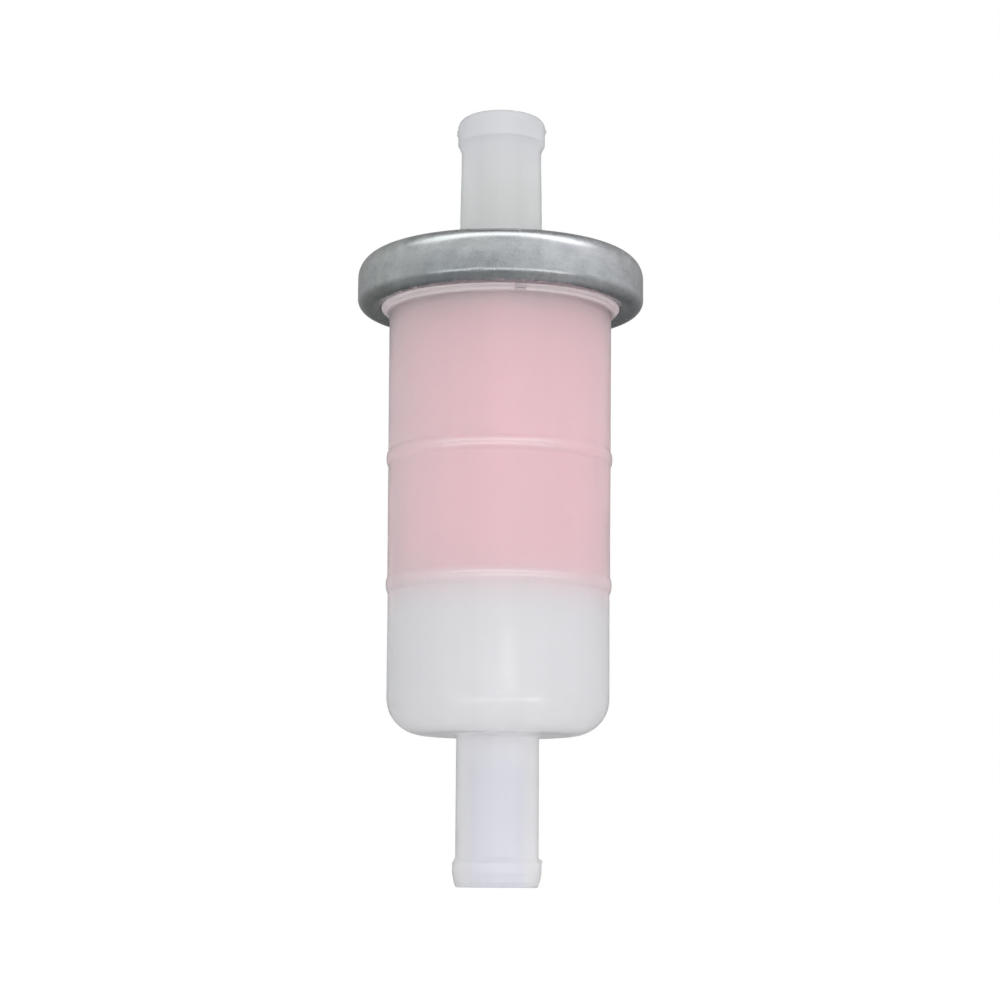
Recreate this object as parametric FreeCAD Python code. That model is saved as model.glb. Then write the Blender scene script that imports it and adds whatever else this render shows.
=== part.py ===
import FreeCAD, Part
import math
import os

# In-line fuel filter for a small engine, millimetres.
# Frame: the origin is the centre of the end face of the lower (inlet) hose
# nipple, +Z runs up the filter's axis toward the upper (outlet) nipple.
# The gate mark on the collar of the case faces -Y, a little to the +X side.
# Fuel flow: up through the inlet, into the chamber under the element, from
# outside to inside through the pleated paper, up the core and out at the top.

V = FreeCAD.Vector

# ------------------------------------------------------------ dimensions ----
OVERALL_H = 95.0           # end of inlet nipple to end of outlet nipple

# hose nipples, for 9.5 mm (3/8 in) bore fuel hose
BORE_R = 3.2               # fuel passage in both nipples
IN_TUBE_R = 5.0            # inlet tube
IN_BARB_R = 5.36           # inlet barb land
IN_LAND_Z0, IN_LAND_Z1 = 1.75, 2.88
IN_SHOULDER_Z = 3.62       # back of the inlet barb meets the tube here
OUT_TUBE_R_ROOT = 5.09     # outlet tube at the cover
OUT_TUBE_R_NECK = 4.96     # outlet tube behind its barb
OUT_BARB_R = 5.43          # outlet barb land
OUT_LAND_Z0, OUT_LAND_Z1 = 91.86, 94.0

# case (bowl)
FLOOR_Z = 18.2             # flat underside of the bowl
FLOOR_FILLET = 4.4         # outer corner radius
BODY_R_LOW = 13.50         # true cylinder below the lower bead
BODY_CYL_TOP = 35.2
BODY_R_MID = 13.58         # just above the lower bead
BODY_R_TOP = 13.72         # under the collar (draft widens it upward)
BEAD_LOW_Z, BEAD_HIGH_Z = 36.35, 51.9
BEAD_H, BEAD_HALF = 0.22, 0.95
WALL = 1.25
COLLAR_R = 14.75           # collar under the crimp
COLLAR_Z0 = 70.0           # bottom of the collar
STEP_R, STEP_Z = 14.25, 70.6   # its lower, smaller step
STEP_ROUND = 0.35
FLANGE_R = 16.95
FLANGE_TOP = 73.3
PORT_R, PORT_TOP = 3.9, 21.2   # raised rim round the inlet inside the bowl
RIB_COUNT, RIB_W, RIB_D, RIB_TOP = 4, 2.4, 1.0, 31.3
RIB_A0 = 5.8               # first rib, degrees from -Y toward +X

# crimp ring
RING_R = 17.66
RING_T = 0.6
RING_TOP = 77.2
RING_TOP_CORNER = 2.8
RING_LIP_R = 13.2          # inner edge of the top lip
RING_BOT_CORNER = 1.45
RING_BOT_Z = 70.38         # lowest line of the crimp
RING_HOLE_R, RING_HOLE_Z = 14.85, 70.93   # edge of the crimped lower lip

# cover
COVER_BOSS_R, COVER_BOSS_TOP = 13.05, 76.95
COVER_CEILING = 72.9       # underside between spigot and skirt
SKIRT_R, SKIRT_T = 12.25, 1.0
SPIGOT_R, SPIGOT_Z = 4.15, 69.4

# seals
GASKET_R0, GASKET_R1, GASKET_T = 13.55, 15.15, 0.9
OSEAL_T = 1.2

# element
PAPER_Z0, PAPER_Z1 = 36.0, 69.2
PAPER_TIP_R, PAPER_ROOT_R = 11.55, 6.75
PAPER_T, PAPER_FOLD = 0.42, 0.30
PLEATS = 30
CORE_R, CORE_T = 6.45, 0.8
CAP_R, CAP_T, CAP_RIM = 11.95, 1.0, 0.36
POT_T = 0.8
NECK_OUT_R, NECK_IN_R, NECK_H = 6.4, 5.4, 1.5   # seal seat on the upper end cap
CAP_HOLE_R = 4.45

GATE_A, GATE_W, GATE_P = 9.3, 1.25, 0.28   # gate vestige on the collar


# --------------------------------------------------------------- helpers ----
def line(a, b):
    return Part.LineSegment(V(a[0], 0, a[1]), V(b[0], 0, b[1])).toShape()


def arc(a, m, b):
    return Part.Arc(V(a[0], 0, a[1]), V(m[0], 0, m[1]), V(b[0], 0, b[1])).toShape()


def on_circle(c, r, deg):
    t = math.radians(deg)
    return (c[0] + r * math.cos(t), c[1] + r * math.sin(t))


def profile(steps):
    """Closed section in the XZ plane. Steps are points, or ("arc", mid, end)."""
    edges, here = [], steps[0]
    for s in steps[1:] + [steps[0]]:
        if s[0] == "arc":
            edges.append(arc(here, s[1], s[2]))
            here = s[2]
        else:
            if abs(s[0] - here[0]) > 1e-9 or abs(s[1] - here[1]) > 1e-9:
                edges.append(line(here, s))
            here = s
    return Part.Face(Part.Wire(edges))


def spin(steps):
    shape = profile(steps).revolve(V(0, 0, 0), V(0, 0, 1), 360)
    if shape.ShapeType != "Solid":
        shape = shape.Solids[0] if shape.Solids else Part.Solid(shape)
    if shape.Volume < 0:
        shape.reverse()
    return shape


def tube(r0, r1, z0, z1):
    return spin([(r0, z0), (r1, z0), (r1, z1), (r0, z1)])


def block_at(azimuth, r0, r1, width, z0, z1):
    """Radial block: azimuth in degrees from -Y toward +X."""
    b = Part.makeBox(width, r1 - r0, z1 - z0, V(-width / 2.0, -r1, z0))
    b.rotate(V(0, 0, 0), V(0, 0, 1), azimuth)
    return b


def save(shape, name):
    if shape.ShapeType == "Compound" and len(shape.Solids) == 1:
        shape = shape.Solids[0]
    assert shape.isValid(), name
    assert len(shape.Solids) == 1, (name, len(shape.Solids))
    os.makedirs("parts", exist_ok=True)
    shape.exportStep("parts/%s.step" % name)
    return shape


os.makedirs("parts", exist_ok=True)
S45 = math.sqrt(0.5)

# ------------------------------------------- section of the ring, used twice
R, T = RING_R, RING_T
ct = (R - RING_TOP_CORNER, RING_TOP - RING_TOP_CORNER)
cb = (R - RING_BOT_CORNER, RING_BOT_Z + RING_BOT_CORNER)
slope = math.degrees(math.atan2(RING_HOLE_Z - RING_BOT_Z, cb[0] - RING_HOLE_R))
low_a = -90.0 - slope                          # where the corner meets the sloped lip
out_low = on_circle(cb, RING_BOT_CORNER, low_a)
in_low = on_circle(cb, RING_BOT_CORNER - T, low_a)
tan_s = math.tan(math.radians(slope))
out_edge = (RING_HOLE_R, out_low[1] + (out_low[0] - RING_HOLE_R) * tan_s)
in_edge = (RING_HOLE_R, in_low[1] + (in_low[0] - RING_HOLE_R) * tan_s)


def under_lip(r):
    """Height of the case flange's underside, lying on the crimped lower lip."""
    return in_low[1] + (in_low[0] - r) * tan_s + 0.01


# ------------------------------------------------------------------ case ----
# Outer skin from the nipple end up to the flange, then the inside back down.
c_fil = (BODY_R_LOW - FLOOR_FILLET, FLOOR_Z + FLOOR_FILLET)
root = 0.45                                   # nipple to floor fillet
col_c = (STEP_R - STEP_ROUND, COLLAR_Z0 + STEP_ROUND)
b1r = BODY_R_LOW + 0.05                       # wall radius at the lower bead
b2r = BODY_R_MID + (BODY_R_TOP - BODY_R_MID) * (
    (BEAD_HIGH_Z - BEAD_LOW_Z) / (COLLAR_Z0 - BEAD_LOW_Z))
inner_low, inner_top = BODY_R_LOW - WALL, BODY_R_TOP - WALL
inner_floor = FLOOR_Z + 1.35
in_fil = FLOOR_FILLET - WALL
c_in = (inner_low - in_fil, inner_floor + in_fil)
gz0 = FLANGE_TOP - GASKET_T                   # bottom of the gasket groove
case = spin([
    (BORE_R + 0.25, 0.0),
    (4.72, 0.0),
    ("arc", (4.90, 0.07), (4.99, 0.22)),
    (5.16, 0.62),
    (IN_BARB_R, IN_LAND_Z0),
    (IN_BARB_R, IN_LAND_Z1),
    (IN_TUBE_R + 0.04, IN_SHOULDER_Z - 0.12),
    ("arc", (IN_TUBE_R + 0.012, IN_SHOULDER_Z + 0.02), (IN_TUBE_R, IN_SHOULDER_Z + 0.2)),
    (IN_TUBE_R, FLOOR_Z - root),
    ("arc", (IN_TUBE_R + root * (1 - S45), FLOOR_Z - root * (1 - S45)),
     (IN_TUBE_R + root, FLOOR_Z)),
    (c_fil[0], FLOOR_Z),
    ("arc", on_circle(c_fil, FLOOR_FILLET, -45), (BODY_R_LOW, c_fil[1])),
    (BODY_R_LOW, BODY_CYL_TOP),
    (b1r, BEAD_LOW_Z - BEAD_HALF),
    ("arc", (b1r + BEAD_H, BEAD_LOW_Z), (BODY_R_MID, BEAD_LOW_Z + BEAD_HALF)),
    (b2r, BEAD_HIGH_Z - BEAD_HALF),
    ("arc", (b2r + BEAD_H, BEAD_HIGH_Z), (b2r, BEAD_HIGH_Z + BEAD_HALF)),
    (BODY_R_TOP, COLLAR_Z0 - 0.12),
    ("arc", (BODY_R_TOP + 0.035, COLLAR_Z0 - 0.035), (BODY_R_TOP + 0.12, COLLAR_Z0)),
    (col_c[0], COLLAR_Z0),
    ("arc", on_circle(col_c, STEP_ROUND, -45), (STEP_R, col_c[1])),
    (STEP_R, STEP_Z),
    (COLLAR_R - 0.24, STEP_Z),
    ("arc", (COLLAR_R - 0.24 * (1 - S45), STEP_Z + 0.24 * (1 - S45)), (COLLAR_R, STEP_Z + 0.24)),
    (COLLAR_R, under_lip(COLLAR_R)),
    (in_low[0] + 0.02, under_lip(in_low[0] + 0.02)),
    ("arc", on_circle(cb, RING_BOT_CORNER - T - 0.1, -47), (FLANGE_R, cb[1])),
    (FLANGE_R, FLANGE_TOP),
    (GASKET_R1, FLANGE_TOP),
    (GASKET_R1, gz0),
    (GASKET_R0, gz0),
    (GASKET_R0, FLANGE_TOP),
    (inner_top + 0.35, FLANGE_TOP),
    (inner_top, FLANGE_TOP - 0.6),
    (inner_low, c_in[1]),
    ("arc", on_circle(c_in, in_fil, -45), (c_in[0], inner_floor)),
    (PORT_R + 0.4, inner_floor),
    ("arc", (PORT_R + 0.4 * (1 - S45), inner_floor + 0.4 * (1 - S45)),
     (PORT_R, inner_floor + 0.4)),
    (PORT_R, PORT_TOP),
    (BORE_R, PORT_TOP),
    (BORE_R, 0.25),
])
# locating ribs on the wall of the inlet chamber, tops sloped for the mould;
# each is trimmed to the wall's mid-thickness so that none shows outside
mid_fil = FLOOR_FILLET - WALL / 2.0
c_mid = (BODY_R_LOW - WALL / 2.0 - mid_fil, FLOOR_Z + WALL / 2.0 + mid_fil)
rib_space = spin([
    (0.0, FLOOR_Z + WALL / 2.0),
    (c_mid[0], FLOOR_Z + WALL / 2.0),
    ("arc", on_circle(c_mid, mid_fil, -45), (BODY_R_LOW - WALL / 2.0, c_mid[1])),
    (BODY_R_LOW - WALL / 2.0, RIB_TOP + 1.0),
    (0.0, RIB_TOP + 1.0),
])
for k in range(RIB_COUNT):
    a = RIB_A0 + 360.0 * k / RIB_COUNT
    rib = block_at(a, inner_low - RIB_D, inner_low + 0.6, RIB_W, inner_floor - 0.4, RIB_TOP)
    top = Part.makeBox(RIB_W + 1, 3, 3, V(-(RIB_W + 1) / 2.0, -inner_low - 0.1, RIB_TOP))
    top.rotate(V(0, -inner_low - 0.1, RIB_TOP), V(1, 0, 0), -40)
    top.rotate(V(0, 0, 0), V(0, 0, 1), a)
    case = case.fuse(rib.cut(top).common(rib_space))
# gate vestige: the cut stub of the moulding gate on the collar
gate = block_at(GATE_A, COLLAR_R - 0.9, COLLAR_R + GATE_P, GATE_W, COLLAR_Z0 + 0.05, RING_HOLE_Z - 0.12)
snip = Part.makeBox(3, 1.2, 1.2, V(-1.5, -COLLAR_R - GATE_P - 0.75, RING_HOLE_Z - 0.75))
snip.rotate(V(0, -COLLAR_R, RING_HOLE_Z - 0.5), V(1, 0, 0), 28)
snip.rotate(V(0, 0, 0), V(0, 0, 1), GATE_A)
gate = gate.cut(snip)
case = case.fuse(gate).removeSplitter()
case = save(case, "case")

# ----------------------------------------------------------------- cover ----
# Flange, boss and outlet nipple outside; skirt, spigot and bore inside.
pot_top = PAPER_Z1 + POT_T                     # upper potting layer ends here
cap_top = pot_top + CAP_T
c_cov = (14.85, 74.5)
neck0, neck1 = 90.55, OUT_LAND_Z0
cover = spin([
    (BORE_R, SPIGOT_Z),
    (SPIGOT_R - 0.35, SPIGOT_Z),
    (SPIGOT_R, SPIGOT_Z + 0.5),
    (SPIGOT_R, COVER_CEILING),
    (SKIRT_R - SKIRT_T, COVER_CEILING),
    (SKIRT_R - SKIRT_T, cap_top),
    (SKIRT_R, cap_top),
    (SKIRT_R, FLANGE_TOP),
    (FLANGE_R, FLANGE_TOP),
    (FLANGE_R, c_cov[1]),
    ("arc", on_circle(c_cov, 2.1, 45), (c_cov[0], RING_TOP - RING_T)),
    (COVER_BOSS_R, RING_TOP - RING_T),
    (COVER_BOSS_R, COVER_BOSS_TOP - 0.2),
    ("arc", (COVER_BOSS_R - 0.06, COVER_BOSS_TOP - 0.06), (COVER_BOSS_R - 0.2, COVER_BOSS_TOP)),
    (OUT_TUBE_R_ROOT + 0.7, COVER_BOSS_TOP),
    ("arc", (OUT_TUBE_R_ROOT + 0.7 * (1 - S45), COVER_BOSS_TOP + 0.7 * (1 - S45)),
     (OUT_TUBE_R_ROOT, COVER_BOSS_TOP + 0.7)),
    (OUT_TUBE_R_ROOT - 0.01, 82.0),
    (OUT_TUBE_R_NECK, 89.4),
    (OUT_TUBE_R_NECK, neck0),
    ("arc", (OUT_TUBE_R_NECK + 0.035, neck0 + 0.3), (OUT_TUBE_R_NECK + 0.13, neck0 + 0.56)),
    (OUT_BARB_R - 0.12, neck1 - 0.28),
    ("arc", (OUT_BARB_R - 0.03, neck1 - 0.14), (OUT_BARB_R, neck1)),
    (OUT_BARB_R, OUT_LAND_Z1),
    ("arc", (5.17, 94.6), (4.66, OVERALL_H)),
    (BORE_R + 0.25, OVERALL_H),
    (BORE_R, OVERALL_H - 0.25),
])
cover = save(cover, "cover")

# ------------------------------------------------------------ crimp ring ----
# Drawn steel ring, C section: large upper corner, tight crimp underneath.
ring = spin([
    out_edge,
    out_low,
    ("arc", on_circle(cb, RING_BOT_CORNER, (low_a + 0) / 2.0), (R, cb[1])),
    (R, ct[1]),
    ("arc", on_circle(ct, RING_TOP_CORNER, 45), (ct[0], RING_TOP)),
    (RING_LIP_R + 0.3, RING_TOP),
    ("arc", (RING_LIP_R + 0.3 * (1 - S45), RING_TOP - 0.3 * (1 - S45)), (RING_LIP_R, RING_TOP - 0.3)),
    (RING_LIP_R, RING_TOP - T),
    (ct[0], RING_TOP - T),
    ("arc", on_circle(ct, RING_TOP_CORNER - T, 45), (R - T, ct[1])),
    (R - T, cb[1]),
    ("arc", on_circle(cb, RING_BOT_CORNER - T, (low_a + 0) / 2.0), in_low),
    in_edge,
])
ring = save(ring, "crimp_ring")

# ----------------------------------------------------------------- seals ----
gasket = save(tube(GASKET_R0 + 0.02, GASKET_R1 - 0.02, gz0, FLANGE_TOP), "flange_seal")
oseal = save(tube(SPIGOT_R + 0.02, NECK_IN_R - 0.02, cap_top, cap_top + OSEAL_T), "outlet_seal")

# --------------------------------------------------------------- element ----
def pleat_loop(side):
    """One skin of the pleated paper: side +1 is the outer skin, -1 the inner."""
    count = 2 * PLEATS
    half = PAPER_T / 2.0
    rc_out, rc_in = PAPER_TIP_R - half - PAPER_FOLD, PAPER_ROOT_R + half + PAPER_FOLD
    centres = []
    for k in range(count):
        r = rc_out if k % 2 == 0 else rc_in
        a = 2 * math.pi * k / count
        centres.append((r * math.cos(a), r * math.sin(a)))
    arcs = []
    for k in range(count):
        outward = (k % 2 == 0)
        c = centres[k]
        r = PAPER_FOLD + (half if (outward == (side > 0)) else -half)
        pts = []
        for step in (-1, 1):
            o = centres[(k + step) % count]
            dx, dy = o[0] - c[0], o[1] - c[1]
            d = math.hypot(dx, dy)
            # cross tangent between two equal fold circles
            ang = math.acos(2 * PAPER_FOLD / d)
            base = math.atan2(dy, dx)
            t = base + (-step if outward else step) * ang
            pts.append((c[0] + r * math.cos(t), c[1] + r * math.sin(t)))
        a = math.atan2(c[1], c[0])
        way = 1 if outward else -1
        mid = (c[0] + way * r * math.cos(a), c[1] + way * r * math.sin(a))
        arcs.append((pts[0], mid, pts[1]))
    edges = []
    for k in range(count):
        p0, m, p1 = arcs[k]
        edges.append(Part.Arc(V(p0[0], p0[1], 0), V(m[0], m[1], 0), V(p1[0], p1[1], 0)).toShape())
        q = arcs[(k + 1) % count][0]
        edges.append(Part.LineSegment(V(p1[0], p1[1], 0), V(q[0], q[1], 0)).toShape())
    return Part.Wire(edges)


outer_w, inner_w = pleat_loop(1), pleat_loop(-1)
paper_face = Part.makeFace([outer_w, inner_w], "Part::FaceMakerBullseye")
paper = paper_face.extrude(V(0, 0, PAPER_Z1 - PAPER_Z0))
paper.translate(V(0, 0, PAPER_Z0))
if paper.ShapeType != "Solid":
    paper = paper.Solids[0]
paper = save(paper, "filter_paper")

# strip along the paper's closing seam, in the valley between two pleat tips at
# the back
seam = Part.makeBox(0.5, 1.6, PAPER_Z1 - PAPER_Z0, V(-0.25, -PAPER_TIP_R + 0.05, PAPER_Z0))
seam.rotate(V(0, 0, 0), V(0, 0, 1), 180.0)
seam = save(seam, "pleat_seam")

# perforated core
core = tube(CORE_R - CORE_T, CORE_R, PAPER_Z0, PAPER_Z1)
rows, cols = 7, 6
cell = (PAPER_Z1 - PAPER_Z0 - 3.0) / rows
for i in range(rows):
    z = PAPER_Z0 + 1.5 + cell * (i + 0.5)
    for j in range(cols // 2):
        a = 360.0 * j / cols + (30.0 if i % 2 else 0.0)
        slot = Part.makeBox(3.6, 2 * CORE_R + 4, cell - 1.6, V(-1.8, -CORE_R - 2, z - (cell - 1.6) / 2))
        slot.rotate(V(0, 0, 0), V(0, 0, 1), a)
        core = core.cut(slot)
core = save(core, "core_tube")

# end caps with their potting layers
rim_in = CAP_R - CAP_RIM
low_face = PAPER_Z0 - POT_T                    # lower cap's face under the potting
lower_pot = save(tube(CORE_R - CORE_T, rim_in - 0.02, low_face, PAPER_Z0), "lower_potting")
plug_r = CORE_R - CORE_T - 0.05                # locates the core
lower_cap = save(spin([
    (0.0, low_face - CAP_T),
    (CAP_R - 0.3, low_face - CAP_T),
    ("arc", (CAP_R - 0.3 * (1 - S45), low_face - CAP_T + 0.3 * (1 - S45)), (CAP_R, low_face - CAP_T + 0.3)),
    (CAP_R, PAPER_Z0 + 0.5),
    (rim_in, PAPER_Z0 + 0.5),
    (rim_in, low_face),
    (plug_r, low_face),
    (plug_r, PAPER_Z0 + 0.9),
    (plug_r - 0.7, PAPER_Z0 + 0.9),
    (plug_r - 0.7, low_face + 0.2),
    (0.0, low_face + 0.2),
]), "lower_end_cap")
upper_pot = save(tube(CORE_R - CORE_T, rim_in - 0.02, PAPER_Z1, pot_top), "upper_potting")
upper_cap = save(spin([
    (CAP_HOLE_R, pot_top),
    (rim_in, pot_top),
    (rim_in, PAPER_Z1 - 0.5),
    (CAP_R, PAPER_Z1 - 0.5),
    (CAP_R, cap_top),
    (NECK_OUT_R, cap_top),
    (NECK_OUT_R, cap_top + NECK_H),
    (NECK_IN_R, cap_top + NECK_H),
    (NECK_IN_R, cap_top),
    (CAP_HOLE_R, cap_top),
]), "upper_end_cap")
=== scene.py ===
import math

import bmesh
import bpy
from mathutils import Matrix, Vector


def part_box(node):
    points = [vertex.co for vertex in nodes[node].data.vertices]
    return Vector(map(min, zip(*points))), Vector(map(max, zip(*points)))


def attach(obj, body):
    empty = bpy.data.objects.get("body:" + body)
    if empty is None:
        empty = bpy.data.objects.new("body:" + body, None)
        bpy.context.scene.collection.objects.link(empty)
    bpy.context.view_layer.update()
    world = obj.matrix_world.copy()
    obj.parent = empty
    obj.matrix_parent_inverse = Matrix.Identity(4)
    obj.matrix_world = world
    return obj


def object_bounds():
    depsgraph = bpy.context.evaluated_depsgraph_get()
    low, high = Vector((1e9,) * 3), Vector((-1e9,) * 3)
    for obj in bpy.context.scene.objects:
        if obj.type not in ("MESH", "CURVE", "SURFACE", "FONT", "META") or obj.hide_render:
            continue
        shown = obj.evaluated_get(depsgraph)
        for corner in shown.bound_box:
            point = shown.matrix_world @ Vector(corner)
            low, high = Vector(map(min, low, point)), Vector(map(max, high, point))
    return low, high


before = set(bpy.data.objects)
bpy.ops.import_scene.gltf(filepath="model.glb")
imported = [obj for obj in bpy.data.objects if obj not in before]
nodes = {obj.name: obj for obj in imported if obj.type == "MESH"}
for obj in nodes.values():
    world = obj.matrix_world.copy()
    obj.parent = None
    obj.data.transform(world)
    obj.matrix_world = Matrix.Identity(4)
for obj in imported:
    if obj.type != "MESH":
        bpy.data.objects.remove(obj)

cad_lo, cad_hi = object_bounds()
scene = bpy.context.scene

# Heights that the materials follow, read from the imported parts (metres).
PAPER_LO, PAPER_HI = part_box("filter_paper")[0][2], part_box("filter_paper")[1][2]
CAP_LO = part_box("lower_end_cap")[0][2]
RING_LO, RING_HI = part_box("crimp_ring")[0][2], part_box("crimp_ring")[1][2]
TOP = cad_hi[2]

# Colours, linear.
CASE, COVER = (0.95, 0.95, 0.965), (0.84, 0.85, 0.85)
# the pink painted into the case where the paper's light scatters in its wall: a painted glow
PAPER_GLOW = (1.0, 0.895, 0.906)
PAPER_A, PAPER_B, PAPER_C = (0.99, 0.76, 0.795), (0.99, 0.82, 0.85), (0.99, 0.79, 0.82)


# ------------------------------------------------------------- node helpers --
class Tree:
    """Short way to write a shader tree."""

    def __init__(self, name):
        self.mat = bpy.data.materials.new(name)
        self.mat.use_nodes = True
        self.nt = self.mat.node_tree
        self.nt.nodes.clear()
        self.out = self.nt.nodes.new("ShaderNodeOutputMaterial")
        self.coords = self.nt.nodes.new("ShaderNodeTexCoord").outputs["Object"]

    def node(self, kind, **props):
        n = self.nt.nodes.new("ShaderNode" + kind)
        for k, v in props.items():
            setattr(n, k, v)
        return n

    def put(self, value, socket):
        if isinstance(value, bpy.types.NodeSocket):
            self.nt.links.new(value, socket)
        else:
            socket.default_value = value

    def math(self, op, a, b=0.0, c=None, clamp=False):
        n = self.node("Math", operation=op, use_clamp=clamp)
        self.put(a, n.inputs[0])
        self.put(b, n.inputs[1])
        if c is not None:
            self.put(c, n.inputs[2])
        return n.outputs[0]

    def scaled(self, x, y, z, turn=(0, 0, 0)):
        n = self.node("Mapping")
        self.put(self.coords, n.inputs["Vector"])
        n.inputs["Scale"].default_value = (x, y, z)
        n.inputs["Rotation"].default_value = turn
        return n.outputs[0]

    def noise(self, vector, scale=1.0, detail=3.0, rough=0.5, distortion=0.0):
        n = self.node("TexNoise")
        self.put(vector, n.inputs["Vector"])
        n.inputs["Scale"].default_value = scale
        n.inputs["Detail"].default_value = detail
        n.inputs["Roughness"].default_value = rough
        n.inputs["Distortion"].default_value = distortion
        return n.outputs["Fac"]

    def remap(self, value, a, b, lo=0.0, hi=1.0, smooth=False):
        n = self.node("MapRange")
        if smooth:
            n.interpolation_type = "SMOOTHSTEP"
        self.put(value, n.inputs["Value"])
        for k, v in (("From Min", a), ("From Max", b), ("To Min", lo), ("To Max", hi)):
            self.put(v, n.inputs[k])
        return n.outputs["Result"]

    def mix(self, fac, a, b, blend="MIX"):
        n = self.node("Mix", data_type="RGBA", blend_type=blend)
        self.put(fac, n.inputs[0])
        self.put(a, n.inputs[6])
        self.put(b, n.inputs[7])
        return n.outputs[2]

    def ramp(self, value, stops):
        """Value to grey by a list of (place, grey); places run 0 to 1."""
        n = self.node("ValToRGB")
        self.put(value, n.inputs[0])
        r = n.color_ramp
        while len(r.elements) < len(stops):
            r.elements.new(0.5)
        for e, (p, g) in zip(r.elements, stops):
            e.position = p
            e.color = (g, g, g, 1.0)
        return n.outputs[0]

    def xyz(self):
        n = self.node("SeparateXYZ")
        self.put(self.coords, n.inputs[0])
        return n.outputs[0], n.outputs[1], n.outputs[2]

    def combine(self, x, y, z):
        n = self.node("CombineXYZ")
        for v, s in zip((x, y, z), n.inputs):
            self.put(v, s)
        return n.outputs[0]

    def round_axis(self, around, radial, along):
        """A vector that runs round the axis: around sets the scale along the
        circle, radial and along (per metre) the scales across it."""
        x, y, z = self.xyz()
        r = self.math("SQRT", self.math("ADD", self.math("MULTIPLY", x, x), self.math("MULTIPLY", y, y)))
        unit = self.node("VectorMath", operation="NORMALIZE")
        self.put(self.combine(x, y, 0.0), unit.inputs[0])
        out = self.node("VectorMath", operation="MULTIPLY_ADD")
        self.put(unit.outputs[0], out.inputs[0])
        out.inputs[1].default_value = (around, around, 0.0)
        self.put(self.combine(self.math("MULTIPLY", r, radial), 0.0, self.math("MULTIPLY", z, along)), out.inputs[2])
        return out.outputs[0]

    def bump(self, height, strength, distance, normal=None):
        n = self.node("Bump")
        n.inputs["Strength"].default_value = strength
        n.inputs["Distance"].default_value = distance
        self.put(height, n.inputs["Height"])
        if normal is not None:
            self.put(normal, n.inputs["Normal"])
        return n.outputs["Normal"]

    def principled(self, **values):
        n = self.node("BsdfPrincipled")
        for k, v in values.items():
            self.put(v, n.inputs[k.replace("_", " ")])
        return n

    def surface(self, shader):
        self.nt.links.new(shader, self.out.inputs["Surface"])
        return self.mat


def rgb(r, g, b):
    return (r, g, b, 1.0)


def tone(c, k):
    return rgb(*[min(1.0, v * k) for v in c])


def assign(node, material):
    o = nodes[node]
    o.data.materials.clear()
    o.data.materials.append(material)


# ---------------------------------------------------------------- materials --
BEADS = (0.03635, 0.0519)        # heights of the two beads round the case
INNER_FLOOR = 0.0216             # where the inside of the bowl starts to round over


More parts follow.
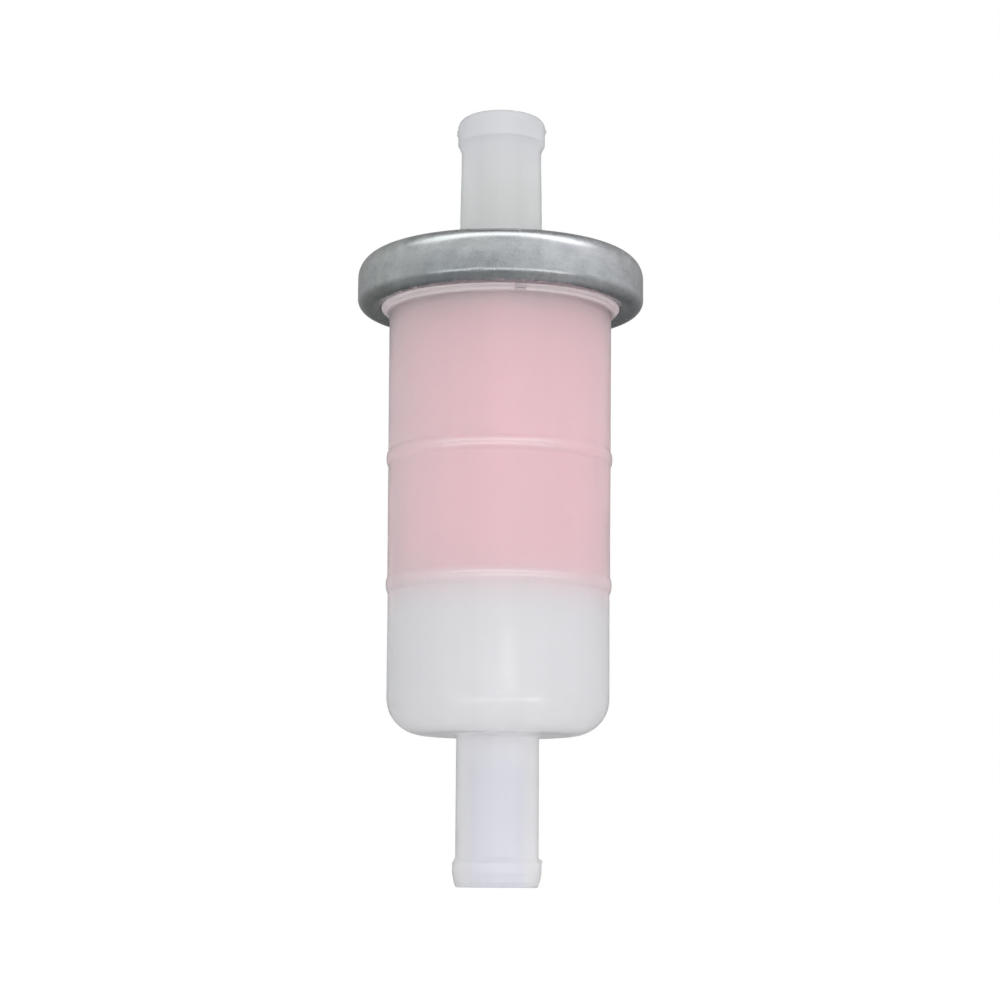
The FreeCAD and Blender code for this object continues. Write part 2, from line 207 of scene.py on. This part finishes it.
def nylon(name, colour, clear_body, clear_thick, painted_light, rough=0.9):
    """Milky moulded nylon. clear_body is how clear the thin wall of the bowl is,
    clear_thick the nipples, collar and flange, which are thicker. The flag after
    them turns on the painted light of the case: the pink of the paper's light,
    scattered in the wall, painted into its colour where the element stands, with
    painted shade on the lower nipple and painted highlights along the beads."""
    t = Tree(name)
    x, y, z = t.xyz()
    cloud = t.noise(t.scaled(70, 70, 40), detail=3.0)
    streak = t.noise(t.round_axis(3.2, 0.0, 9.0), 1.0, detail=4.0, rough=0.6)
    fine = t.noise(t.scaled(2200, 2200, 900), detail=2.0)
    wave = t.noise(t.scaled(230, 230, 90), detail=2.0)
    col = t.mix(t.remap(cloud, 0.35, 0.65), tone(colour, 0.975), tone(colour, 1.0))
    col = t.mix(t.remap(streak, 0.35, 0.65), t.mix(1.0, col, rgb(0.965, 0.97, 0.965), "MULTIPLY"), col)
    stem = t.remap(z, 0.0180, 0.0225, 1.0, 0.0, smooth=True)
    collar = t.remap(z, RING_LO - 0.0005, RING_LO - 0.0002, 0.0, 1.0, smooth=True)
    pale = 0.0
    if painted_light:
        # the lower nipple: painted shade, a little darker and faintly lilac toward its middle
        side = t.math("ABSOLUTE", x)
        lilac = t.mix(t.remap(side, 0.0022, 0.0046, 0.0, 1.0, smooth=True), rgb(0.855, 0.855, 0.905), rgb(0.93, 0.93, 0.925))
        col = t.mix(t.remap(z, 0.0125, 0.0192, 1.0, 0.0, smooth=True), col, t.mix(1.0, col, lilac, "MULTIPLY"))
        # paler marks, with less pink: bands over the inner ribs, and painted
        # highlights along the bead crests and along the line where the inside floor
        # rounds up into the wall, mostly toward the front and back
        spin = t.math("MULTIPLY", t.math("ARCTAN2", x, t.math("MULTIPLY", y, -1.0)), 4.0)
        spin = t.math("COSINE", t.math("SUBTRACT", spin, math.radians(4 * 5.8)))
        rib = t.math("MULTIPLY", t.remap(spin, 0.86, 1.0, 0.0, 1.0, smooth=True),
                     t.math("MULTIPLY", t.remap(z, 0.0205, 0.0225, 0.0, 1.0, smooth=True),
                            t.remap(z, 0.0290, 0.0325, 1.0, 0.0, smooth=True)))
        pale = t.math("MULTIPLY", rib, 0.15)
        for h in BEADS:
            for dz, k in ((-0.00028, 0.26), (0.00022, 0.34)):
                line = t.remap(t.math("ABSOLUTE", t.math("SUBTRACT", z, h + dz)), 0.00004, 0.00020, k, 0.0, smooth=True)
                line = t.math("MULTIPLY", line, t.remap(side, 0.0050, 0.0100, 1.0, 0.15, smooth=True))
                pale = t.math("MAXIMUM", pale, line)
        floor_line_highlight = t.remap(t.math("ABSOLUTE", t.math("SUBTRACT", z, INNER_FLOOR)), 0.00005, 0.00035, 0.30, 0.0, smooth=True)
        pale = t.math("MAXIMUM", pale, t.math("MULTIPLY", floor_line_highlight, t.remap(side, 0.0040, 0.0065, 1.0, 0.0, smooth=True)))
    if painted_light:
        # painted pink glow: the paper's light scattered in the wall, painted into the case colour over the element's
        # height, weaker over the collar and the paler marks, deeper toward +x
        low = t.remap(z, CAP_LO - 0.0026, PAPER_LO + 0.0030, 0.0, 1.0, smooth=True)
        low = t.math("MULTIPLY", low, t.math("SUBTRACT", 1.0, t.math("MULTIPLY", pale, 0.7)))
        high = t.remap(z, RING_LO - 0.0004, RING_LO + 0.0006, 1.0, 0.65, smooth=True)
        shade = t.mix(t.remap(x, 0.003, 0.0125), rgb(*PAPER_GLOW), rgb(PAPER_GLOW[0], PAPER_GLOW[1] * 0.955, PAPER_GLOW[2] * 0.965))
        painted_pink_glow = t.mix(1.0, col, shade, "MULTIPLY")
        col = t.mix(t.math("MULTIPLY", low, high), col, painted_pink_glow)
    else:
        # the mouth of the outlet nipple reads a touch cooler
        col = t.mix(t.remap(z, TOP - 0.0090, TOP - 0.0030, 0.0, 1.0, smooth=True), col,
                    t.mix(1.0, col, rgb(0.965, 0.96, 0.985), "MULTIPLY"))
    height = t.math("ADD", t.math("MULTIPLY", fine, 0.2), wave)
    p = t.principled(
        Base_Color=col,
        Roughness=t.remap(cloud, 0.3, 0.7, rough - 0.05, rough + 0.03),
        Normal=t.bump(height, 0.10, 0.00012),
    )
    if painted_light:
        clear = t.math("SUBTRACT", t.remap(stem, 0.0, 1.0, clear_body, clear_thick),
                       t.math("MULTIPLY", collar, clear_body - 0.25))
        clear = t.math("MULTIPLY", clear, t.math("SUBTRACT", 1.0, pale))
        t.put(clear, p.inputs["Transmission Weight"])
    else:
        p.inputs["Transmission Weight"].default_value = clear_body
    p.inputs["IOR"].default_value = 1.5
    p.inputs["Coat Weight"].default_value = 0.6
    p.inputs["Coat IOR"].default_value = 1.5
    p.inputs["Coat Roughness"].default_value = 0.16
    return t.surface(p.outputs[0])


def zinc():
    """Zinc-plated sheet: grey, softly mottled, with fine lines round the ring."""
    t = Tree("zinc_steel")
    brush = t.noise(t.round_axis(7.0, 1500.0, 1500.0), 1.0, detail=5.0, rough=0.65)
    mott = t.noise(t.scaled(520, 520, 520), detail=5.0, rough=0.62)
    blot = t.noise(t.scaled(150, 150, 150), detail=2.0)
    grain = t.noise(t.scaled(2300, 2300, 2300), detail=2.0)
    col = t.mix(t.remap(mott, 0.32, 0.68), rgb(0.385, 0.405, 0.41), rgb(0.56, 0.575, 0.585))
    col = t.mix(t.remap(blot, 0.35, 0.65, 0.0, 0.55), col, rgb(0.50, 0.515, 0.545))
    col = t.mix(t.remap(brush, 0.35, 0.72, 0.0, 0.45), col, rgb(0.63, 0.64, 0.645))
    col = t.mix(t.remap(grain, 0.58, 0.75, 0.0, 0.35), col, rgb(0.34, 0.36, 0.37))
    x, y, z = t.xyz()
    # painted shade: the lower part of the ring wall darker, most just left of the middle
    ring_shade = t.math("MULTIPLY", t.remap(z, RING_LO + 0.0048, RING_LO + 0.0022, 0.0, 1.0, smooth=True),
                  t.remap(x, -0.004, 0.009, 0.85, 0.25, smooth=True))
    ring_shade = t.math("MULTIPLY", ring_shade, t.remap(x, -0.015, -0.006, 0.2, 1.0, smooth=True))
    col = t.mix(ring_shade, col, t.mix(1.0, col, rgb(0.62, 0.64, 0.66), "MULTIPLY"))
    cast = t.mix(t.remap(x, -0.014, 0.014), rgb(0.975, 1.0, 0.975), rgb(0.985, 0.98, 1.0))
    col = t.mix(1.0, col, cast, "MULTIPLY")
    height = t.math("ADD", t.math("MULTIPLY", brush, 0.6), t.math("ADD", mott, t.math("MULTIPLY", grain, 0.25)))
    p = t.principled(Base_Color=col, Roughness=t.remap(mott, 0.3, 0.7, 0.20, 0.34),
                     Normal=t.bump(height, 0.30, 0.00003))
    p.inputs["Metallic"].default_value = 1.0
    return t.surface(p.outputs[0])


def paper():
    t = Tree("filter_paper")
    fibre = t.noise(t.scaled(3200, 3200, 700), detail=5.0, rough=0.65)
    blot = t.noise(t.scaled(300, 300, 160), detail=3.0)
    col = t.mix(t.remap(fibre, 0.3, 0.7), rgb(*PAPER_A), rgb(*PAPER_B))
    col = t.mix(t.remap(blot, 0.35, 0.65, 0.0, 0.4), col, rgb(*PAPER_C))
    p = t.principled(Base_Color=col, Normal=t.bump(fibre, 0.4, 0.00005))
    p.inputs["Roughness"].default_value = 0.85
    return t.surface(p.outputs[0])


def moulded(name, a, b, rough, scale=700.0, bump=0.2):
    t = Tree(name)
    n = t.noise(t.scaled(scale, scale, scale), detail=4.0)
    c = t.noise(t.scaled(120, 120, 120), detail=2.0)
    col = t.mix(t.remap(n, 0.3, 0.7), rgb(*a), rgb(*b))
    col = t.mix(t.remap(c, 0.35, 0.65, 0.0, 0.5), col, rgb(*b))
    p = t.principled(Base_Color=col, Roughness=t.remap(n, 0.3, 0.7, rough - 0.06, rough + 0.06),
                     Normal=t.bump(n, bump, 0.00004))
    return t.surface(p.outputs[0])


case_mat = nylon("case_nylon", CASE, 0.72, 0.45, True)
cover_mat = nylon("cover_nylon", COVER, 0.62, 0.62, False)
zinc_mat = zinc()
paper_mat = paper()
seal_mat = moulded("seal_rubber", (0.62, 0.60, 0.56), (0.70, 0.68, 0.64), 0.6, 900.0)
cap_mat = moulded("cap_plastic", (0.74, 0.74, 0.73), (0.80, 0.80, 0.79), 0.5)
core_mat = moulded("core_plastic", (0.72, 0.72, 0.70), (0.78, 0.78, 0.76), 0.5)
pot_mat = moulded("potting", (0.74, 0.68, 0.58), (0.82, 0.77, 0.68), 0.6, 900.0)
seam_mat = moulded("seam_strip", (0.78, 0.62, 0.62), (0.84, 0.70, 0.70), 0.6)
for node, m in {
    "case": case_mat, "cover": cover_mat, "crimp_ring": zinc_mat, "filter_paper": paper_mat,
    "flange_seal": seal_mat, "outlet_seal": seal_mat, "core_tube": core_mat,
    "upper_end_cap": cap_mat, "lower_end_cap": cap_mat, "upper_potting": pot_mat,
    "lower_potting": pot_mat, "pleat_seam": seam_mat,
}.items():
    assign(node, m)


# Traces of flash where the mould halves met, on the barbs, coloured darker than the nylon as painted shade under each
# nub.
flash_shade_mat = moulded("flash", (0.50, 0.50, 0.48), (0.66, 0.66, 0.64), 0.6, 1500.0)
for name, at, size, slot in (
        ("flash_outlet_left", (-0.00536, -0.0004, 0.0932), (0.00024, 0.00018, 0.00042), "cover_nylon"),
        ("flash_outlet_right", (0.00536, -0.0004, 0.0935), (0.00024, 0.00018, 0.00042), "cover_nylon"),
        ("flash_inlet_right", (0.00526, -0.0004, 0.0031), (0.00020, 0.00018, 0.00036), "case_nylon")):
    me = bpy.data.meshes.new(name)
    bm = bmesh.new()
    bmesh.ops.create_icosphere(bm, subdivisions=3, radius=1.0)
    for v in bm.verts:
        k = 1.0 + 0.16 * math.sin(5.0 * v.co.z + 2.0 * v.co.x) + 0.08 * math.cos(9.0 * v.co.y + 3.0 * v.co.z)
        v.co = Vector((v.co.x * size[0] * k, v.co.y * size[1] * k, v.co.z * size[2] * k))
    for f in bm.faces:
        f.smooth = True
    bm.to_mesh(me)
    bm.free()
    me.materials.append(flash_shade_mat)
    nub = bpy.data.objects.new(name, me)
    nub.location = at
    scene.collection.objects.link(nub)
    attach(nub, "root")


# -------------------------------------------------------------------- stage --
def stage_piece(name, build, material, location=(0, 0, 0)):
    me = bpy.data.meshes.new(name)
    bm = bmesh.new()
    build(bm)
    bm.to_mesh(me)
    bm.free()
    me.materials.append(material)
    o = bpy.data.objects.new(name, me)
    o.location = location
    scene.collection.objects.link(o)
    return o


# a pale floor well under the part, fading into the white of the studio
t = Tree("studio_floor")
x, y, z = t.xyz()
r = t.math("SQRT", t.math("ADD", t.math("MULTIPLY", x, x), t.math("MULTIPLY", y, y)))
d = t.node("BsdfDiffuse")
d.inputs["Color"].default_value = rgb(0.40, 0.40, 0.40)
e = t.node("Emission")
e.inputs["Color"].default_value = rgb(1, 1, 1)
e.inputs["Strength"].default_value = 0.52
near = t.node("AddShader")
t.nt.links.new(d.outputs[0], near.inputs[0])
t.nt.links.new(e.outputs[0], near.inputs[1])
far = t.node("Emission")
far.inputs["Color"].default_value = rgb(1, 1, 1)
far.inputs["Strength"].default_value = 1.0
m = t.node("MixShader")
t.put(t.remap(r, 0.35, 1.15, 0.0, 1.0, smooth=True), m.inputs[0])
t.nt.links.new(near.outputs[0], m.inputs[1])
t.nt.links.new(far.outputs[0], m.inputs[2])
t.surface(m.outputs[0])
t.mat.cycles.emission_sampling = "NONE"
floor = stage_piece(
    "studio_floor",
    lambda bm: bmesh.ops.create_circle(bm, cap_ends=True, segments=128, radius=12.0),
    t.mat, (0, 0, -0.06))
floor.visible_glossy = False

# a dome that only gloss sees: the softboxes and the darker room round them
t = Tree("studio_room")
unit = t.node("VectorMath", operation="NORMALIZE")
t.put(t.coords, unit.inputs[0])
sep = t.node("SeparateXYZ")
t.put(unit.outputs[0], sep.inputs[0])
dx, dy, dz = sep.outputs
el = t.math("DIVIDE", t.math("ARCSINE", dz), math.pi / 2)          # -1 down, 1 up
az = t.math("DIVIDE", t.math("ARCTAN2", dx, t.math("MULTIPLY", dy, -1.0)), 2 * math.pi)
az = t.math("ADD", az, 0.5)                                         # 0.5 is -Y, 0.75 is +X
side = t.ramp(az, [
    (0.00, 0.30), (0.06, 0.36), (0.14, 0.52), (0.25, 0.74), (0.38, 0.86), (0.50, 0.84),
    (0.60, 0.98), (0.72, 1.06), (0.80, 0.82), (0.88, 0.56), (0.94, 0.36), (1.00, 0.30)])
tall = t.ramp(t.remap(el, -1.0, 1.0), [
    (0.00, 0.52), (0.40, 0.52), (0.50, 0.78), (0.56, 1.0), (0.62, 1.0), (0.70, 1.0), (0.86, 0.85), (1.00, 0.50)])
room = t.math("MULTIPLY", side, tall)
tube = t.math("MULTIPLY", t.remap(t.math("ABSOLUTE", t.math("ADD", dy, 0.08)), 0.12, 0.30, 1.0, 0.0, smooth=True),
              t.math("MULTIPLY", t.remap(dz, 0.60, 0.80, 0.0, 1.0, smooth=True), t.remap(dx, -0.80, -0.35, 0.4, 1.0, smooth=True)))
room = t.math("ADD", room, t.math("MULTIPLY", tube, 1.7))
strip = t.math("MULTIPLY", t.remap(t.math("ABSOLUTE", t.math("SUBTRACT", dz, -0.02)), 0.03, 0.07, 1.0, 0.0, smooth=True),
               t.remap(dy, -0.45, -0.75, 0.0, 1.0, smooth=True))
room = t.math("ADD", room, t.math("MULTIPLY", strip, 2.5))
e = t.node("Emission")
e.inputs["Color"].default_value = rgb(1, 1, 1)
t.put(room, e.inputs["Strength"])
t.surface(e.outputs[0])
t.mat.cycles.emission_sampling = "NONE"
dome = stage_piece(
    "studio_room",
    lambda bm: bmesh.ops.create_uvsphere(bm, u_segments=64, v_segments=32, radius=3.0),
    t.mat, (0, 0, 0.05))
dome.visible_camera = False
dome.visible_diffuse = False
dome.visible_transmission = False
dome.visible_shadow = False
dome.visible_volume_scatter = False

world = bpy.data.worlds.new("studio")
scene.world = world
world.use_nodes = True
bg = world.node_tree.nodes["Background"]
bg.inputs["Color"].default_value = rgb(1, 1, 1)
bg.inputs["Strength"].default_value = 1.0
world.cycles_visibility.glossy = False


def area(name, loc, aim, size, power, colour=(1, 1, 1)):
    L = bpy.data.lights.new(name, "AREA")
    L.shape = "SQUARE"
    L.size = size
    L.energy = power
    L.color = colour
    o = bpy.data.objects.new(name, L)
    o.location = loc
    o.rotation_mode = "QUATERNION"
    o.rotation_quaternion = (Vector(aim) - Vector(loc)).to_track_quat("-Z", "Y")
    o.visible_glossy = False
    o.visible_camera = False
    scene.collection.objects.link(o)
    return o


area("key", (0.25, -0.9, 0.22), (0, 0, 0.05), 0.5, 2.15, (1.0, 0.985, 1.0))

# ------------------------------------------------------------------- camera --
# Low and close, level with the lower nipple's end, tilted up at the middle.
DIST, TILT, ROLL, SIDE = 0.30625, 8.65, 0.38, 0.000098
MID_Z = 0.04695
te = math.radians(TILT)
cam_data = bpy.data.cameras.new("camera")
cam_data.sensor_width = 36.0
cam_data.lens = 2528.8 / 1000.0 * 36.0
cam_data.dof.use_dof = False
cam_data.clip_start, cam_data.clip_end = 0.01, 100.0
cam = bpy.data.objects.new("camera", cam_data)
scene.collection.objects.link(cam)
scene.camera = cam
fwd = Vector((0, math.cos(te), math.sin(te)))
up0 = Vector((0, -math.sin(te), math.cos(te)))
right0 = Vector((1, 0, 0))
rr = math.radians(ROLL)
right = right0 * math.cos(rr) + up0 * math.sin(rr)
up = up0 * math.cos(rr) - right0 * math.sin(rr)
rot = Matrix((right, up, -fwd)).transposed()
cam.matrix_world = Matrix.Translation((SIDE, -DIST, MID_Z - DIST * math.tan(te))) @ rot.to_4x4()

scene.view_settings.view_transform = "Standard"
scene.view_settings.look = "None"
scene.view_settings.exposure = 0.0
scene.view_settings.gamma = 1.0
scene.cycles.max_bounces = 32
scene.cycles.diffuse_bounces = 16
scene.cycles.glossy_bounces = 8
scene.cycles.transmission_bounces = 24
